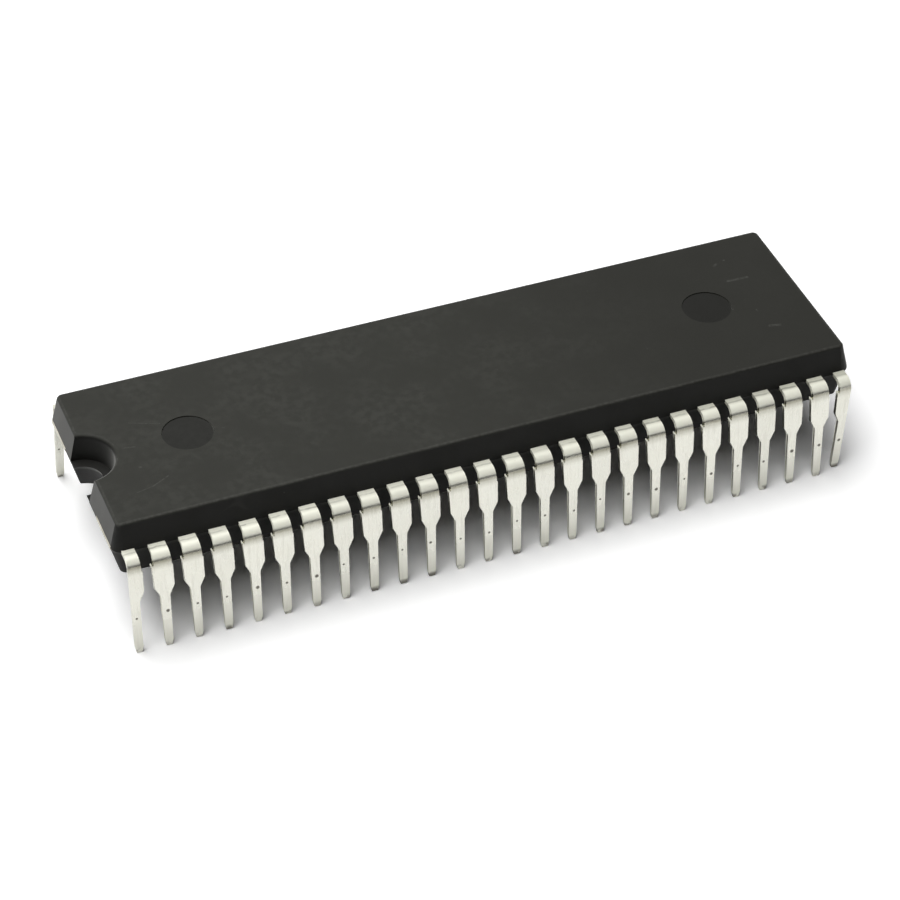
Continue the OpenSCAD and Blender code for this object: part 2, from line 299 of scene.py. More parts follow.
# Moulded epoxy: charcoal and matte, with a mould's fine grain, light scuffs, a painted highlight
# along the rim broken up like wear, painted shade on the sides, the lower half and the far end of
# the top, and a painted sheen at low angles
epoxyLook = {
    "colour": (0.0285, 0.0290, 0.0236, 1),
    "pale": (0.0400, 0.0406, 0.0342, 1),  # the top's paler blotches
    "far": (0.0205, 0.0205, 0.0165, 1),  # painted shade: the top, darker towards the end without the notch
    "farShadeSpan": (-4.0, 16.0),  # mm along the body, over which the top turns to it
    "side": (0.0070, 0.0070, 0.0056, 1),  # painted shade on the drafted sides and the whole lower half
    "mark": (0.003, 0.003, 0.0026, 1),  # the ejector marks
    "dustAndRimHighlight": (0.13, 0.13, 0.12, 1),  # what shows at scuffs, specks and hairlines, and as the painted highlight along the top's rim
    "paintedSheen": (0.30, 0.30, 0.285, 1),  # painted sheen, seen only at a low angle
    "paintedSheenAmount": (1.50, 1.05),  # of the painted sheen, at the notched end and at the far end
    "paintedSheenPower": 4.0,
    "paintedSheenFade": (-0.2, 0.1),  # mm about mid height, between which it sets in
    "roughness": (0.50, 0.58),
    "markSmoother": 0.04,
    "specular": 0.23,
    "grain": {"Size": 0.07, "Blotch": 3.0},  # mm
    "flour": {"Size": 0.24, "Blotch": 0.5},  # mm, a coarser grain over the first
    "specks": {"Spacing": 1.1, "Size": 0.05, "Share": 0.4},  # mm, mm and share
    "hairs": {"Spread": 6.0, "Width": 0.004, "Amount": 0.5},
    "grainDepth": 0.006,  # mm
    "relief": {"flour": 0.8, "scuffed": 0.8, "specks": 1.0},  # shares of the grain's depth
    "mix": {  # how strongly each colour covers the ones below it
        "far": 0.9, "marked": 0.45, "rimHighlight": 0.22, "scuffed": 0.32, "specks": 0.22, "hairs": 0.06,
    },
    "rimWidth": (0.12, 0.02),  # mm either side of the top's edge, where the painted rim highlight fades
    "rimDrop": (0.25, 0.05),  # mm below the top, between which it fades
    "rimRagged": (0.35, 0.65, 0.25, 1.0),  # levels of the flour and what is left of the line
    "topInset": 0.50,  # mm, from the parting line to the top's edge
    "sideShadeDrop": (0.02, 0.16),  # mm below the top, where the painted shade on the sides begins
    "underFade": 0.1,  # mm above the underside, where the painted shade on the lower half is full
    "markPlace": (16.405, 0.15),  # mm, of the ejector marks
    "markRadius": 1.5,
    "markFade": (0.02, -0.08),  # mm about that radius
    "strokes": [  # ends and width in mm, on the top
        {"from": (-20.62, -3.82), "to": (-19.62, -3.61), "width": 0.045},
        {"from": (-19.62, -3.61), "to": (-18.58, -3.07), "width": 0.055},
        {"from": (-19.33, 2.16), "to": (-17.65, 1.45), "width": 0.035},
        {"from": (-20.34, 0.15), "to": (-19.59, 0.01), "width": 0.06},
        {"from": (-19.85, -1.80), "to": (-19.81, -1.80), "width": 0.10},
        {"from": (-14.95, 0.20), "to": (-14.80, 0.02), "width": 0.07},
        {"from": (-14.40, -0.15), "to": (-14.30, -0.20), "width": 0.06},
        {"from": (18.73, 2.04), "to": (19.99, 1.99), "width": 0.14},
        {"from": (19.21, -2.82), "to": (19.81, -2.94), "width": 0.15},
        {"from": (18.55, 3.70), "to": (18.80, 3.86), "width": 0.12},
        {"from": (19.36, 4.02), "to": (19.40, 4.04), "width": 0.09},
        {"from": (17.78, -0.56), "to": (17.80, -0.60), "width": 0.08},
        {"from": (19.12, -1.10), "to": (19.12, -1.28), "width": 0.07},
    ],
}


def makeEpoxy(look):
    settings = {"Specular IOR Level": look["specular"]}
    material, tree, shader, place = newMaterial("mouldedEpoxy", settings)
    x, y, z = axesOf(tree, place)
    midHeight = (bodyLow.z + bodyHigh.z) / 2
    halfHeight = (bodyHigh.z - bodyLow.z) / 2
    mix, relief = look["mix"], look["relief"]
    grain = useGroup(tree, grainGroup, Place=place, **look["grain"])
    flour = useGroup(tree, grainGroup, Place=place, **look["flour"])
    specks = useGroup(tree, speckGroup, Place=place, **look["specks"])["Mask"]
    hairs = useGroup(tree, hairlineGroup, Place=place, **look["hairs"])["Mask"]
    # painted highlight where the top meets the drafted sides, broken up like wear
    besideX = minus(tree, magnitude(tree, x), bodyHigh.x - look["topInset"])
    besideY = minus(tree, magnitude(tree, y), bodyHigh.y - look["topInset"])
    edge = magnitude(tree, mathNode(tree, "MAXIMUM", besideX, besideY))
    high = ranged(tree, z, *(bodyHigh.z - drop for drop in look["rimDrop"]))
    ragged = ranged(tree, flour["Height"], *look["rimRagged"])
    rimHighlight = product(tree, ranged(tree, edge, *look["rimWidth"]), high, ragged)
    # the ejector marks are a little smoother and darker
    markX, markY = look["markPlace"]
    offset = pointAt(tree, X=minus(tree, magnitude(tree, x), markX), Y=minus(tree, y, markY))
    away = vectorMath(tree, "LENGTH", offset)
    marked = ranged(tree, away, *(look["markRadius"] + out for out in look["markFade"]))
    scuffed = 0.0
    for stroke in look["strokes"]:
        start, end = (Vector((*stroke[key], bodyHigh.z)) for key in ("from", "to"))
        mark = {"From": start, "To": end, "Width": stroke["width"]}
        mask = useGroup(tree, strokeGroup, Place=place, **mark)["Mask"]
        scuffed = mathNode(tree, "MAXIMUM", scuffed, mask)
    scuffed = product(tree, scuffed, ragged)
    blotched = product(tree, grain["Patch"], flour["Patch"])
    colour = mixedColour(tree, blotched, look["colour"], look["pale"])
    # painted shade: the top grows darker towards the end without the notch
    far = ranged(tree, x, *look["farShadeSpan"], 0.0, mix["far"])
    colour = mixedColour(tree, far, colour, look["far"])
    # painted shade: the drafted sides and the lower half are darker than the top
    fromMiddle = magnitude(tree, minus(tree, z, midHeight))
    side = ranged(tree, fromMiddle, *(halfHeight - drop for drop in look["sideShadeDrop"]))
    lower = ranged(tree, z, midHeight, bodyLow.z + look["underFade"])
    side = mathNode(tree, "MAXIMUM", side, lower)
    colour = mixedColour(tree, side, colour, look["side"])
    colour = mixedColour(tree, product(tree, marked, mix["marked"]), colour, look["mark"])
    # dust, scuffs, specks and hairlines, with the painted rim highlight
    dustAndRimHighlightMask = total(tree, product(tree, rimHighlight, mix["rimHighlight"]), product(tree, scuffed, mix["scuffed"]),
                  product(tree, specks, mix["specks"]), product(tree, hairs, mix["hairs"]))
    colour = mixedColour(tree, capped(tree, dustAndRimHighlightMask), colour, look["dustAndRimHighlight"])
    # painted sheen: the colour turns paler where the surface is seen at a low angle, more at the
    # notched end
    turned = addNode(tree, "ShaderNodeLayerWeight").outputs["Facing"]
    amount = ranged(tree, x, bodyLow.x, bodyHigh.x, *look["paintedSheenAmount"])
    upper = ranged(tree, z, *(midHeight + rise for rise in look["paintedSheenFade"]))
    paintedSheen = product(tree, mathNode(tree, "POWER", turned, look["paintedSheenPower"]), amount, upper)
    feed(tree, shader.inputs["Base Color"],
         mixedColour(tree, capped(tree, paintedSheen), colour, look["paintedSheen"]))
    rough = ranged(tree, grain["Patch"], 0.0, 1.0, *look["roughness"])
    smoother = product(tree, marked, look["markSmoother"])
    feed(tree, shader.inputs["Roughness"], minus(tree, rough, smoother))
    height = total(tree, grain["Height"], product(tree, flour["Height"], relief["flour"]),
                   product(tree, scuffed, relief["scuffed"]),
                   product(tree, specks, relief["specks"]))
    bumped(tree, shader, height, look["grainDepth"])
    return material


# Tin plate: satin metal, drawn along the strip, with bending marks, painted dark reflection and
# shade under the bend, painted shade on the far shoulders, dull tips and specks
tinLook = {
    "colour": (0.925, 0.920, 0.830, 1),
    "matte": (0.98, 0.98, 0.84, 1),  # shoulder and top of the bend, dulled by the tools
    "farShoulderShade": (0.72, 0.72, 0.60, 1),  # painted shade: the shoulder finish, darker at the far end of the rows
    "warm": (0.86, 0.85, 0.74, 1),
    "shade": (0.70, 0.695, 0.62, 1),
    "dull": (0.66, 0.655, 0.57, 1),  # towards the tip
    "bend": (0.24, 0.225, 0.15, 1),  # painted dark reflection and shade in the lower half of the bend
    "stain": (0.06, 0.05, 0.035, 1),
    "roughness": 0.26,
    "rougher": {"low": 0.15, "streak": 0.07, "stained": 0.2, "matte": 0.15},
    "matteMetal": 0.16,  # how metallic the dulled tin still is
    # mm along the strip from here on; 0 is where the straight leg starts
    "crease": -0.92,  # the line left by the bending tool
    "creaseWidth": (0.10, 0.02),
    "darkReflectionBand": -0.12,  # painted dark reflection, a band at the bottom of the bend
    "darkReflectionBandWidth": (0.15, 0.0),
    "bendShade": (-0.24, -0.10),  # where the painted shade under the bend sets in
    "bendShadeEnd": (0.48, -0.12),  # and where it fades down the leg
    "matteEdge": (-0.15, -0.34),
    "farShoulderShadeEdge": (-0.70, -0.90),
    "lowStart": 3.6,  # from here to the tip the tin grows duller
    "contact": 3.60,  # the contact speck on the pin
    "contactSize": (0.09, 0.16),
    "contactCore": 0.4,  # share of its size that is full
    "contactSpread": (0.16, 0.45),  # how far it strays across and along
    "tip": 5.93,
    "cutRise": (0.42, 0.12),  # above the tip, where its smudge sets in
    "burrEdge": (0.605, 0.64),  # mm across, where the sheared burr begins
    "farShadeSpan": (-8.0, 20.0),  # mm along the rows, over which the painted far shade sets in
    # textures, in mm, and how finely they run per mm
    "grain": {"Size": 0.10, "Blotch": 0.7},
    "patches": {"Size": 0.22, "Blotch": 1.6},
    "specks": {"Spacing": 0.45, "Size": 0.045, "Share": 0.35},
    "drawnScale": (20.0, 20.0, 0.7),
    "drawnNoise": (2.0, 0.6),
    "streakScale": (6.0, 6.0, 0.6),
    "streakNoise": (2.0, 0.5),
    "streakLevels": (0.45, 0.75),
    "wander": {"scale": 2.2, "noise": (1.0, 0.5), "amount": 0.16, "band": 0.7},
    "depth": 0.004,
    "relief": {"drawn": 0.14, "grain": 0.6, "contact": -2.0, "crease": -1.5},
    "mix": {  # how strongly each colour covers the ones below it
        "streak": 0.3, "patches": 0.3, "dirt": 0.22, "low": 0.30, "below": 0.58, "band": 0.50,
        "contact": 0.85, "specks": 0.22, "crease": 0.45, "smudge": 0.7,
    },
    # what chance or a texture leaves of each mark: its levels in, and the shares out
    "vary": {
        "crease": (0.1, 0.7, 0.5, 1.0), "creaseGrain": (0.1, 0.5, 0.3, 1.0),
        "band": (0.0, 1.0, 0.6, 1.0), "below": (0.0, 1.0, 0.7, 1.0),
        "far": (0.0, 1.0, 0.7, 1.0), "smudge": (0.0, 0.6, 0.3, 1.0), "smudgeGrain": (0.1, 0.6),
    },
}


def makeTin(look):
    material, tree, shader, place = newMaterial("tinPlate", {})
    mix, vary, relief, rougher = (look[key] for key in ("mix", "vary", "relief", "rougher"))
    strip = addNode(tree, "ShaderNodeAttribute", attribute_name="stripMap").outputs["Vector"]
    across, along = axesOf(tree, strip)[:2]
    x, y = axesOf(tree, place)[:2]
    grain = useGroup(tree, grainGroup, Place=place, **look["grain"])
    patch = useGroup(tree, grainGroup, Place=place, **look["patches"])["Patch"]
    lines = vectorMath(tree, "MULTIPLY", place, look["drawnScale"])
    drawn = noiseValue(tree, lines, 1.0, *look["drawnNoise"])
    lines = vectorMath(tree, "MULTIPLY", place, look["streakScale"])
    streak = noiseValue(tree, lines, 1.0, *look["streakNoise"])
    streak = ranged(tree, streak, *look["streakLevels"])
    # every lead shifts and varies its marks by its own place in the row
    number = mathNode(tree, "DIVIDE", mathNode(tree, "ADD", x, leadPitch / 2), leadPitch)
    rowPlace = pointAt(tree, X=mathNode(tree, "ROUND", number), Y=mathNode(tree, "SIGN", y))
    chance = addNode(tree, "ShaderNodeTexWhiteNoise", noise_dimensions="3D")
    feed(tree, chance.inputs["Vector"], rowPlace)
    chanceA, chanceB, chanceC = axesOf(tree, chance.outputs["Color"])
    # the crease, the painted dark band and the painted shade under the bend
    drift = look["wander"]
    wander = minus(tree, noiseValue(tree, place, drift["scale"], *drift["noise"]), 0.5)
    wander = product(tree, wander, drift["amount"])
    away = magnitude(tree, total(tree, along, -look["crease"], wander))
    crease = product(tree, ranged(tree, away, *look["creaseWidth"]),
                     ranged(tree, chanceA, *vary["crease"]),
                     ranged(tree, grain["Patch"], *vary["creaseGrain"]))
    wander = product(tree, wander, drift["band"])
    away = magnitude(tree, total(tree, along, -look["darkReflectionBand"], wander))
    band = product(tree, ranged(tree, away, *look["darkReflectionBandWidth"]),
                   ranged(tree, patch, *vary["band"]))
    below = product(tree, ranged(tree, along, *look["bendShade"]),
                    ranged(tree, along, *look["bendShadeEnd"]),
                    ranged(tree, chanceB, *vary["below"]))
    matte = ranged(tree, along, *look["matteEdge"])
    low = ranged(tree, along, look["lowStart"], look["tip"])
    cut = ranged(tree, along, *(look["tip"] - rise for rise in look["cutRise"]))
    # specks, and the one that the test socket leaves on each pin
    specks = useGroup(tree, speckGroup, Place=place, **look["specks"])["Mask"]
    strayX, strayY = look["contactSpread"]
    strayX = product(tree, minus(tree, chanceC, 0.5), strayX)
    strayY = product(tree, minus(tree, chanceB, 0.5), strayY)
    spot = pointAt(tree, X=total(tree, across, strayX),
                   Y=total(tree, along, -look["contact"], strayY))
    radius = ranged(tree, chanceA, 0.0, 1.0, *look["contactSize"])
    core = product(tree, radius, look["contactCore"])
    contact = ranged(tree, vectorMath(tree, "LENGTH", spot), radius, core)
    # colours, from the plate up
    colour = mixedColour(tree, product(tree, streak, mix["streak"]), look["colour"], look["shade"])
    colour = mixedColour(tree, product(tree, patch, mix["patches"]), colour, look["warm"])
    # painted shade on the shoulders towards the far end of the rows
    far = product(tree, ranged(tree, x, *look["farShadeSpan"]), ranged(tree, chanceA, *vary["far"]),
                  ranged(tree, along, *look["farShoulderShadeEdge"]))
    dulled = mixedColour(tree, far, look["matte"], look["farShoulderShade"])
    colour = mixedColour(tree, matte, colour, dulled)
    dirt = product(tree, ranged(tree, chanceC, 0.0, 1.0), mix["dirt"])
    colour = mixedColour(tree, dirt, colour, look["shade"])
    colour = mixedColour(tree, product(tree, low, mix["low"]), colour, look["dull"])
    # painted shade under the bend, and the painted dark reflection in the band at its bottom
    colour = mixedColour(tree, product(tree, below, mix["below"]), colour, look["bend"])
    colour = mixedColour(tree, product(tree, band, mix["band"]), colour, look["bend"])
    smudge = product(tree, cut, ranged(tree, chanceC, *vary["smudge"]),
                     ranged(tree, grain["Patch"], *vary["smudgeGrain"]))
    stained = total(tree, product(tree, contact, mix["contact"]),
                    product(tree, specks, mix["specks"]), product(tree, crease, mix["crease"]),
                    product(tree, smudge, mix["smudge"]))
    # the sheared burr at the leg's upper corner is clean and bright
    burr = ranged(tree, magnitude(tree, across), *look["burrEdge"])
    stained = product(tree, capped(tree, stained), minus(tree, 1.0, burr))
    colour = mixedColour(tree, burr, colour, look["matte"])
    feed(tree, shader.inputs["Base Color"], mixedColour(tree, stained, colour, look["stain"]))
    rough = total(tree, look["roughness"], product(tree, low, rougher["low"]),
                  product(tree, streak, rougher["streak"]),
                  product(tree, stained, rougher["stained"]),
                  product(tree, matte, rougher["matte"]))
    feed(tree, shader.inputs["Roughness"], rough)
    dulled = mathNode(tree, "MAXIMUM", matte, burr)
    metal = ranged(tree, dulled, 0.0, 1.0, 1.0, look["matteMetal"])
    feed(tree, shader.inputs["Metallic"], metal)
    height = total(tree, product(tree, drawn, relief["drawn"]),
                   product(tree, grain["Height"], relief["grain"]),
                   product(tree, contact, relief["contact"]),
                   product(tree, crease, relief["crease"]))
    bumped(tree, shader, height, look["depth"])
    return material


def dressNode(name, material):
    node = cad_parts[name]
    node.data.materials.clear()
    node.data.materials.append(material)


# Inner pieces: bare alloy, cured adhesive, silicon and gold, all closed in by the moulding
innerLook = {
    "alloy": {
        "colour": (0.80, 0.77, 0.67, 1), "deep": (0.56, 0.53, 0.44, 1), "metallic": 1.0,
        "roughness": (0.0, 1.0, 0.40, 0.50),  # levels in, and roughness out
        "roughBy": "Patch", "grain": {"Size": 0.1, "Blotch": 1.5}, "depth": 0.005,  # mm
    },
    "adhesive": {
        "colour": (0.52, 0.52, 0.50, 1), "deep": (0.40, 0.40, 0.39, 1), "metallic": 0.4,
        "roughness": (0.3, 0.7, 0.45, 0.65),
        "roughBy": "Height", "grain": {"Size": 0.05, "Blotch": 0.6}, "depth": 0.008,
    },
    "gold": {
        "colour": (0.95, 0.66, 0.24, 1), "deep": (0.86, 0.56, 0.18, 1), "metallic": 1.0,
        "roughness": (0.0, 1.0, 0.18, 0.30),
        "roughBy": "Patch", "grain": {"Size": 0.02, "Blotch": 0.3}, "depth": 0.001,
    },
    "silicon": {
        "colour": (0.10, 0.115, 0.14, 1), "cell": (0.24, 0.22, 0.30, 1), "metallic": 0.5,
        "roughness": (0.2, 0.35), "coat": 0.4, "cellSize": 0.35, "cellChance": 0.6,
        "cellEdge": (0.3, 0.5), "depth": 0.002,
    },
}


def makeGrained(name, look):
    material, tree, shader, place = newMaterial(name, {"Metallic": look["metallic"]})
    grain = useGroup(tree, grainGroup, Place=place, **look["grain"])
    feed(tree, shader.inputs["Base Color"],
         mixedColour(tree, grain["Patch"], look["colour"], look["deep"]))
    feed(tree, shader.inputs["Roughness"],
         ranged(tree, grain[look["roughBy"]], *look["roughness"]))
    bumped(tree, shader, grain["Height"], look["depth"])
    return material


def makeSilicon(look):
    settings = {"Metallic": look["metallic"], "Coat Weight": look["coat"]}
    material, tree, shader, place = newMaterial("polishedSilicon", settings)
    blocks = addNode(tree, "ShaderNodeTexVoronoi", distance="CHEBYCHEV")
    feed(tree, blocks.inputs["Vector"], place)
    feed(tree, blocks.inputs["Scale"], 1 / look["cellSize"])
    feed(tree, blocks.inputs["Randomness"], look["cellChance"])
    shade = axesOf(tree, blocks.outputs["Color"])[1]
    feed(tree, shader.inputs["Base Color"],
         mixedColour(tree, shade, look["colour"], look["cell"]))
    feed(tree, shader.inputs["Roughness"], ranged(tree, shade, 0.0, 1.0, *look["roughness"]))
    seams = ranged(tree, blocks.outputs["Distance"], *look["cellEdge"])
    bumped(tree, shader, seams, look["depth"])
    return material


epoxy = makeEpoxy(epoxyLook)
tin = makeTin(tinLook)
dressNode("mould_body", epoxy)
for name in leadNodes:
    dressNode(name, tin)
dressNode("die_paddle", makeGrained("stampedAlloy", innerLook["alloy"]))
dressNode("die_attach", makeGrained("silverAdhesive", innerLook["adhesive"]))
dressNode("silicon_die", makeSilicon(innerLook["silicon"]))
dressNode("bond_wires", makeGrained("goldWire", innerLook["gold"]))
print("stage: materials made")

# Leads: each is drawn as the flat blank that the press cuts, then rounded and bent
leadShape = {
    "perRow": 26,
    "rowSpacing": 15.24,  # mm, as all lengths here
    "thickness": 0.25,
    "shoulder": 1.0,
    "leg": 1.2,
    "pin": 0.48,
    "tip": 0.36,
    "pinHeight": 3.63,
    "taperHeight": 0.6,
    "tipHeight": 0.35,
    "spurHeight": 0.12,
    "nick": 0.4,  # where the spur's nick ends, as a share of the widening to the leg
    "burr": 0.09,  # how far the sheared spur stands out beside the leg
    "burrOutline": [(0.5, -0.2), (1.0, 0.5), (0.0, 2.2)],  # in burrs out, in spurs down
    "heel": 2.0,  # the same on the spur's other side, in spurs
    "bendRadius": 0.65,
    "bendCuts": 10,
    "splay": 4.0,  # degrees
    "rootPlane": 6.05,  # how far from the body's middle a lead meets its inner finger
    "edgeRound": 0.04,
    "sharpUnder": 1.5,  # in spurs, the length of an edge that still stays sharp
    "sharpAngle": 21,  # degrees between faces, above which the shading breaks
    "hiddenStrip": (0, -4),  # what stripMap says inside the moulding
    "wobble": (0.16, 0.10, 0.22),  # degrees, how far the leads differ from each other
    "seed": 5,
    "tolerance": 1e-6,
    "fingerWeld": 1e-7,  # m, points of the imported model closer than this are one
    "fingerCut": 1e-8,  # m, how close to the cut a point counts as on it
}
# The four end leads, with their outward splay and sideways lean in degrees
endLeads = [
    {"back": False, "place": 1, "splay": 4.0, "lean": 0.0},
    {"back": False, "place": 26, "splay": 0.5, "lean": 3.5},
    {"back": True, "place": 1, "splay": 4.0, "lean": 0.0},
    {"back": True, "place": 26, "splay": 8.4, "lean": 0.0},
]


def bendHeight(shape):
    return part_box("lead_02")[1][2] / mm - shape["bendRadius"]


def legRun(shape, splay):
    # from the end of the bend to a tip that stands on the floor
    inner = shape["bendRadius"] - shape["thickness"]
    lean = math.radians(splay)
    return (bendHeight(shape) + inner * math.sin(lean)) / math.cos(lean)


def bendPlace(shape):
    middle = shape["bendRadius"] - shape["thickness"] / 2
    lean = math.radians(shape["splay"])
    neckRun = legRun(shape, shape["splay"]) - shape["pinHeight"]
    return shape["rowSpacing"] / 2 - middle * math.cos(lean) - neckRun * math.sin(lean)


def bendLength(shape, splay):
    return math.radians(90 - splay) * (shape["bendRadius"] - shape["thickness"] / 2)


def blankOutline(shape, place, run, root):
    # across and along, round the blank; outwards an end lead is as narrow as the pin
    first, last = place == 1, place == shape["perRow"]
    pin, tip, spur, burr = shape["pin"] / 2, shape["tip"] / 2, shape["spurHeight"], shape["burr"]
    shoulder, leg = shape["shoulder"] / 2, shape["leg"] / 2
    neck = run - shape["pinHeight"]
    taper, point = neck - shape["taperHeight"], run - shape["tipHeight"]
    points = [(-pin if first else -shoulder, root)]
    if not first:
        points += [(-shoulder, spur), (-shoulder - shape["nick"] * (leg - shoulder), spur)]
        points += [(-leg - out * burr, down * spur) for out, down in shape["burrOutline"]]
        points += [(-leg, taper)]
    points += [(-pin, neck), (-pin, point), (-tip, run), (tip, run), (pin, point), (pin, neck)]
    if not last:
        points += [(leg, taper), (leg, shape["heel"] * spur), (shoulder, spur)]
    return points + [(pin if last else shoulder, root)]


def formed(shape, splay, across, along, out):
    # the blank's flat coordinates carried round the bend, measured from the bend's axis
    middle = shape["bendRadius"] - shape["thickness"] / 2
    turn = math.radians(splay)
    arc = bendLength(shape, splay)
    if along < 0:
        turn += min(-along, arc) / middle
    normal = Vector((0, -math.cos(turn), math.sin(turn)))
    spot = normal * (middle + out) + Vector((across, 0, 0))
    if along > 0:
        spot += Vector((0, -math.sin(turn), -math.cos(turn))) * along
    if along < -arc:
        spot.y += -arc - along
    return spot


def leadBlank(shape, place, splay, lean):
    run = legRun(shape, splay)
    arc = bendLength(shape, splay)
    root = -arc - (bendPlace(shape) - shape["rootPlane"])
    outline = blankOutline(shape, place, run, root)
    half = shape["thickness"] / 2
    work = bmesh.new()
    rings = [[work.verts.new((x, s, out)) for x, s in outline] for out in (-half, half)]
    work.faces.new(rings[1])
    work.faces.new(rings[0][::-1])
    count = len(outline)
    for i in range(count):
        j = (i + 1) % count
        work.faces.new((rings[0][i], rings[0][j], rings[1][j], rings[1][i]))
    # the nick beside the spur stays sharp, and so does the root inside the body
    close = shape["tolerance"]
    sharpUnder = shape["sharpUnder"] * shape["spurHeight"]
    fine = [e for e in work.edges if abs(e.verts[0].co.z - e.verts[1].co.z) < close
            and e.calc_length() > sharpUnder and max(v.co.y for v in e.verts) > root + close]
    bmesh.ops.bevel(work, geom=fine, offset=shape["edgeRound"], segments=2, profile=0.5,
                    affect="EDGES")
    for cut in range(shape["bendCuts"] + 1):
        everything = work.verts[:] + work.edges[:] + work.faces[:]
        bmesh.ops.bisect_plane(work, geom=everything, dist=close, plane_no=(0, 1, 0),
                               plane_co=(0, -arc * cut / shape["bendCuts"], 0))
    stripMap = work.loops.layers.uv.new("stripMap")
    for face in work.faces:
        for loop in face.loops:
            loop[stripMap].uv = loop.vert.co.xy
    for vert in work.verts:
        along = vert.co.y
        sheared = vert.co.x - max(along, 0) * math.tan(math.radians(lean))
        vert.co = formed(shape, splay, sheared, along, vert.co.z)
    bmesh.ops.recalc_face_normals(work, faces=work.faces[:])
    return work


def pour(target, source, matrix, hiddenStrip):
    # adds one bmesh to another, with its strip map, or else with the hidden one
    into = target.loops.layers.uv["stripMap"]
    fromMap = source.loops.layers.uv.get("stripMap")
    source.verts.index_update()
    verts = [target.verts.new(matrix @ v.co) for v in source.verts]
    for face in source.faces:
        copy = target.faces.new([verts[v.index] for v in face.verts])
        for loop, old in zip(copy.loops, face.loops):
            loop[into].uv = old[fromMap].uv if fromMap else hiddenStrip
    source.free()


def innerFinger(name, shape):
    # the part of a lead that the moulding covers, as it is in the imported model, in metres
    work = bmesh.new()
    work.from_mesh(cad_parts[name].data)
    bmesh.ops.remove_doubles(work, verts=work.verts[:], dist=shape["fingerWeld"])
    side = 1 if sum(v.co.y for v in work.verts) > 0 else -1
    everything = work.verts[:] + work.edges[:] + work.faces[:]
    plane = side * shape["rootPlane"] * mm
    bmesh.ops.bisect_plane(work, geom=everything, dist=shape["fingerCut"], clear_outer=True,
                           plane_co=(0, plane, 0), plane_no=(0, side, 0))
    bmesh.ops.edgeloop_fill(work, edges=[e for e in work.edges if e.is_boundary])
    bmesh.ops.recalc_face_normals(work, faces=work.faces[:])
    return work


def meshFrom(work, name):
    mesh = bpy.data.meshes.new(name)
    work.to_mesh(mesh)
    work.free()
    return mesh


def sceneObject(name, data):
    thing = bpy.data.objects.new(name, data)
    bpy.context.scene.collection.objects.link(thing)
    return thing


def makeOddLeads(shape):
    # the four end leads and all the inner fingers, in one mesh
    work = bmesh.new()
    work.loops.layers.uv.new("stripMap")
    scale = Matrix.Scale(mm, 4)
    hidden = shape["hiddenStrip"]
    for lead in endLeads:
        x = (lead["place"] - (shape["perRow"] + 1) / 2) * leadPitch
        place = Matrix.Translation((x, -bendPlace(shape), bendHeight(shape)))
        turn = Matrix.Rotation(math.pi if lead["back"] else 0, 4, "Z")
        blank = leadBlank(shape, lead["place"], lead["splay"], lead["lean"])
        pour(work, blank, scale @ turn @ place, hidden)
    for name in leadNodes:
        pour(work, innerFinger(name, shape), Matrix.Identity(4), hidden)
    return sceneObject("oddLeads", meshFrom(work, "oddLeads"))


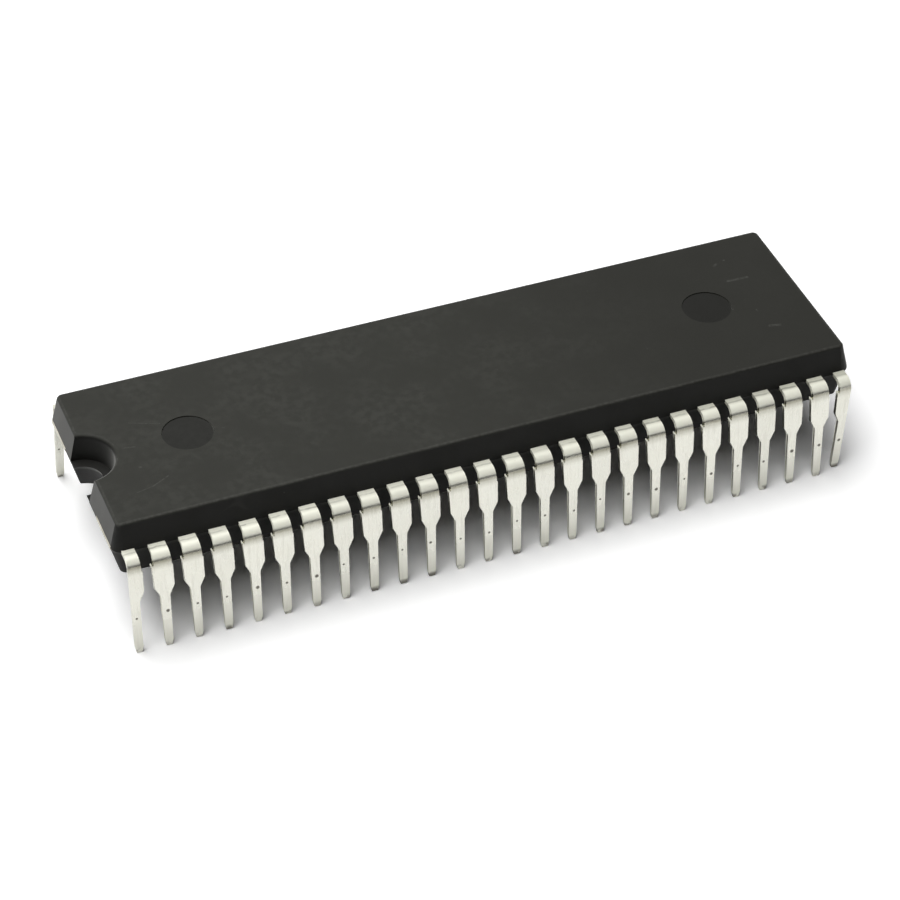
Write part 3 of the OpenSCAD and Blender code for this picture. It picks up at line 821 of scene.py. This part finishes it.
def makeRowTree(shape, oddLeads, material):
    # two rows of blanks, the back one turned round, joined with the leads made singly
    tree = bpy.data.node_groups.new("leadRows", "GeometryNodeTree")
    face = tree.interface
    face.new_socket("Blank", in_out="INPUT", socket_type="NodeSocketGeometry")
    wanted = {
        "Leads": ("NodeSocketInt", shape["perRow"] - 2),
        "Pitch": ("NodeSocketFloat", leadPitch * mm),
        "Bend Place": ("NodeSocketFloat", bendPlace(shape) * mm),
        "Bend Height": ("NodeSocketFloat", bendHeight(shape) * mm),
        "Wobble": ("NodeSocketVector", tuple(math.radians(a) for a in shape["wobble"])),
        "Seed": ("NodeSocketInt", shape["seed"]),
        "Odd Leads": ("NodeSocketObject", oddLeads),
        "Finish": ("NodeSocketMaterial", material),
    }
    values = {}
    for label, (kind, value) in wanted.items():
        values[face.new_socket(label, in_out="INPUT", socket_type=kind).identifier] = value
    face.new_socket("Leads", in_out="OUTPUT", socket_type="NodeSocketGeometry")
    given = addNode(tree, "NodeGroupInput").outputs
    leave = addNode(tree, "NodeGroupOutput")
    asInstance = addNode(tree, "GeometryNodeGeometryToInstance")
    feed(tree, asInstance.inputs[0], given["Blank"])
    joined = addNode(tree, "GeometryNodeJoinGeometry")
    odd = addNode(tree, "GeometryNodeObjectInfo")
    feed(tree, odd.inputs["Object"], given["Odd Leads"])
    feed(tree, joined.inputs[0], odd.outputs["Geometry"])
    halfRow = product(tree, minus(tree, given["Leads"], 1.0), -0.5)
    for row, turn in enumerate((0.0, math.pi)):
        start = pointAt(tree, X=product(tree, halfRow, given["Pitch"]),
                        Y=product(tree, given["Bend Place"], -1.0), Z=given["Bend Height"])
        line = addNode(tree, "GeometryNodeMeshLine", mode="OFFSET")
        feed(tree, line.inputs["Count"], given["Leads"])
        feed(tree, line.inputs["Start Location"], start)
        feed(tree, line.inputs["Offset"], pointAt(tree, X=given["Pitch"]))
        lowest = vectorMath(tree, "MULTIPLY", given["Wobble"], (-1, -1, -1))
        chance = addNode(tree, "FunctionNodeRandomValue", data_type="FLOAT_VECTOR")
        feed(tree, chance.inputs["Min"], lowest)
        feed(tree, chance.inputs["Max"], given["Wobble"])
        feed(tree, chance.inputs["Seed"], mathNode(tree, "ADD", given["Seed"], float(row)))
        spread = addNode(tree, "GeometryNodeInstanceOnPoints")
        feed(tree, spread.inputs["Points"], line.outputs[0])
        feed(tree, spread.inputs["Instance"], asInstance.outputs[0])
        feed(tree, spread.inputs["Rotation"], chance.outputs["Value"])
        turned = addNode(tree, "GeometryNodeTransform")
        feed(tree, turned.inputs["Geometry"], spread.outputs[0])
        feed(tree, turned.inputs["Rotation"], (0, 0, turn))
        feed(tree, joined.inputs[0], turned.outputs[0])
    real = addNode(tree, "GeometryNodeRealizeInstances")
    feed(tree, real.inputs[0], joined.outputs[0])
    finish = addNode(tree, "GeometryNodeSetMaterial")
    feed(tree, finish.inputs["Geometry"], real.outputs[0])
    feed(tree, finish.inputs["Material"], given["Finish"])
    feed(tree, leave.inputs[0], finish.outputs[0])
    return tree, values


def makeLeads(shape, material):
    odd = makeOddLeads(shape)
    blank = leadBlank(shape, 2, shape["splay"], 0.0)
    bmesh.ops.scale(blank, vec=(mm, mm, mm), verts=blank.verts[:])
    source = sceneObject("leadBlank", meshFrom(blank, "leadBlank"))
    rows = source.modifiers.new("leadRows", "NODES")
    rows.node_group, values = makeRowTree(shape, odd, material)
    for identifier, value in values.items():
        rows[identifier] = value
    graph = bpy.context.evaluated_depsgraph_get()
    mesh = bpy.data.meshes.new_from_object(source.evaluated_get(graph), depsgraph=graph,
                                           preserve_all_data_layers=True)
    mesh.name = "leadframe_leads"
    source.modifiers.clear()
    for scratch in (source, odd):
        bpy.data.objects.remove(scratch)
    mesh.shade_smooth()
    mesh.set_sharp_from_angle(angle=math.radians(shape["sharpAngle"]))
    leads = sceneObject("leadframe_leads", mesh)
    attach(leads, "root")
    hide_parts(*leadNodes)
    print("stage: leads made,", len(mesh.polygons), "faces")


makeLeads(leadShape, tin)


# Floor: a white sheet that keeps the chip's shadow
floorLook = {
    "size": 4.0,  # m
    "colour": 0.92,
    "shownWhite": 1.25,  # as the camera sees it, so that the shadow's faint rim burns out
    "lift": 0.005,  # light added for the camera and for reflections only
}


def makeFloor(look):
    mesh = bpy.data.meshes.new("whiteSheet")
    half = look["size"] / 2
    corners = [(-half, -half, 0), (half, -half, 0), (half, half, 0), (-half, half, 0)]
    mesh.from_pydata(corners, [], [(0, 1, 2, 3)])
    floor = sceneObject("whiteSheet", mesh)
    material = bpy.data.materials.new("whitePaper")
    material.use_nodes = True
    tree = material.node_tree
    tree.nodes.remove(tree.nodes["Principled BSDF"])
    rays = addNode(tree, "ShaderNodeLightPath")
    camera = rays.outputs["Is Camera Ray"]
    extra = product(tree, camera, look["shownWhite"] - look["colour"])
    paper = addNode(tree, "ShaderNodeBsdfDiffuse")
    feed(tree, paper.inputs["Color"], total(tree, extra, look["colour"]))
    seen = mathNode(tree, "MAXIMUM", camera, rays.outputs["Is Glossy Ray"])
    seen = mathNode(tree, "MAXIMUM", seen, rays.outputs["Is Transmission Ray"])
    glow = addNode(tree, "ShaderNodeEmission")
    feed(tree, glow.inputs["Strength"], product(tree, seen, look["lift"]))
    both = addNode(tree, "ShaderNodeAddShader")
    feed(tree, both.inputs[0], paper.outputs[0])
    feed(tree, both.inputs[1], glow.outputs[0])
    feed(tree, tree.nodes["Material Output"].inputs["Surface"], both.outputs[0])
    mesh.materials.append(material)


# Studio: a broad soft lamp above, a little to the left, in a dim tent that is dark in front
studioLook = {
    "tent": (0.18, 0.10),  # strength on the left and on the right
    "tentSides": (0.15, 0.45),  # x of the directions between which it changes
    "tentFoot": (0.40, 0.60),  # sines of the heights between which the tent fades in
    "tentFront": (0.0, 0.35),  # the same along frontAxis
    "frontAxis": (0, 0.927, 0.375),  # points away from the camera and up
    "dark": 0.008,  # strength where there is no tent
    "lamps": {
        # in metres and watts
        "softBox": {"place": (-0.28, 0.11, 1.10), "size": (1.50, 0.76), "power": 16.2},
    },
}


def makeStudio(look):
    world = bpy.data.worlds.new("paleDome")
    world.use_nodes = True
    tree = world.node_tree
    bpy.context.scene.world = world
    direction = addNode(tree, "ShaderNodeTexCoord").outputs["Generated"]
    x, y, z = axesOf(tree, direction)
    behind = vectorMath(tree, "DOT_PRODUCT", direction, look["frontAxis"])
    tent = product(tree, ranged(tree, z, *look["tentFoot"]),
                   ranged(tree, behind, *look["tentFront"]),
                   ranged(tree, x, *look["tentSides"], *look["tent"]))
    seen = addNode(tree, "ShaderNodeLightPath").outputs["Is Camera Ray"]
    level = mathNode(tree, "MAXIMUM", total(tree, tent, look["dark"]), seen)
    background = tree.nodes["Background"]
    background.inputs["Color"].default_value = (1, 1, 1, 1)
    feed(tree, background.inputs["Strength"], level)
    for name, lamp in look["lamps"].items():
        data = bpy.data.lights.new(name, "AREA")
        data.shape = "RECTANGLE"
        data.size, data.size_y = lamp["size"]
        data.energy = lamp["power"]
        place = Vector(lamp["place"])
        aim = (-place).to_track_quat("-Z", "Y").to_matrix().to_4x4()
        sceneObject(name, data).matrix_world = Matrix.Translation(place) @ aim


makeFloor(floorLook)
makeStudio(studioLook)
bpy.context.scene.view_settings.view_transform = "Standard"
print("stage: floor and studio made")
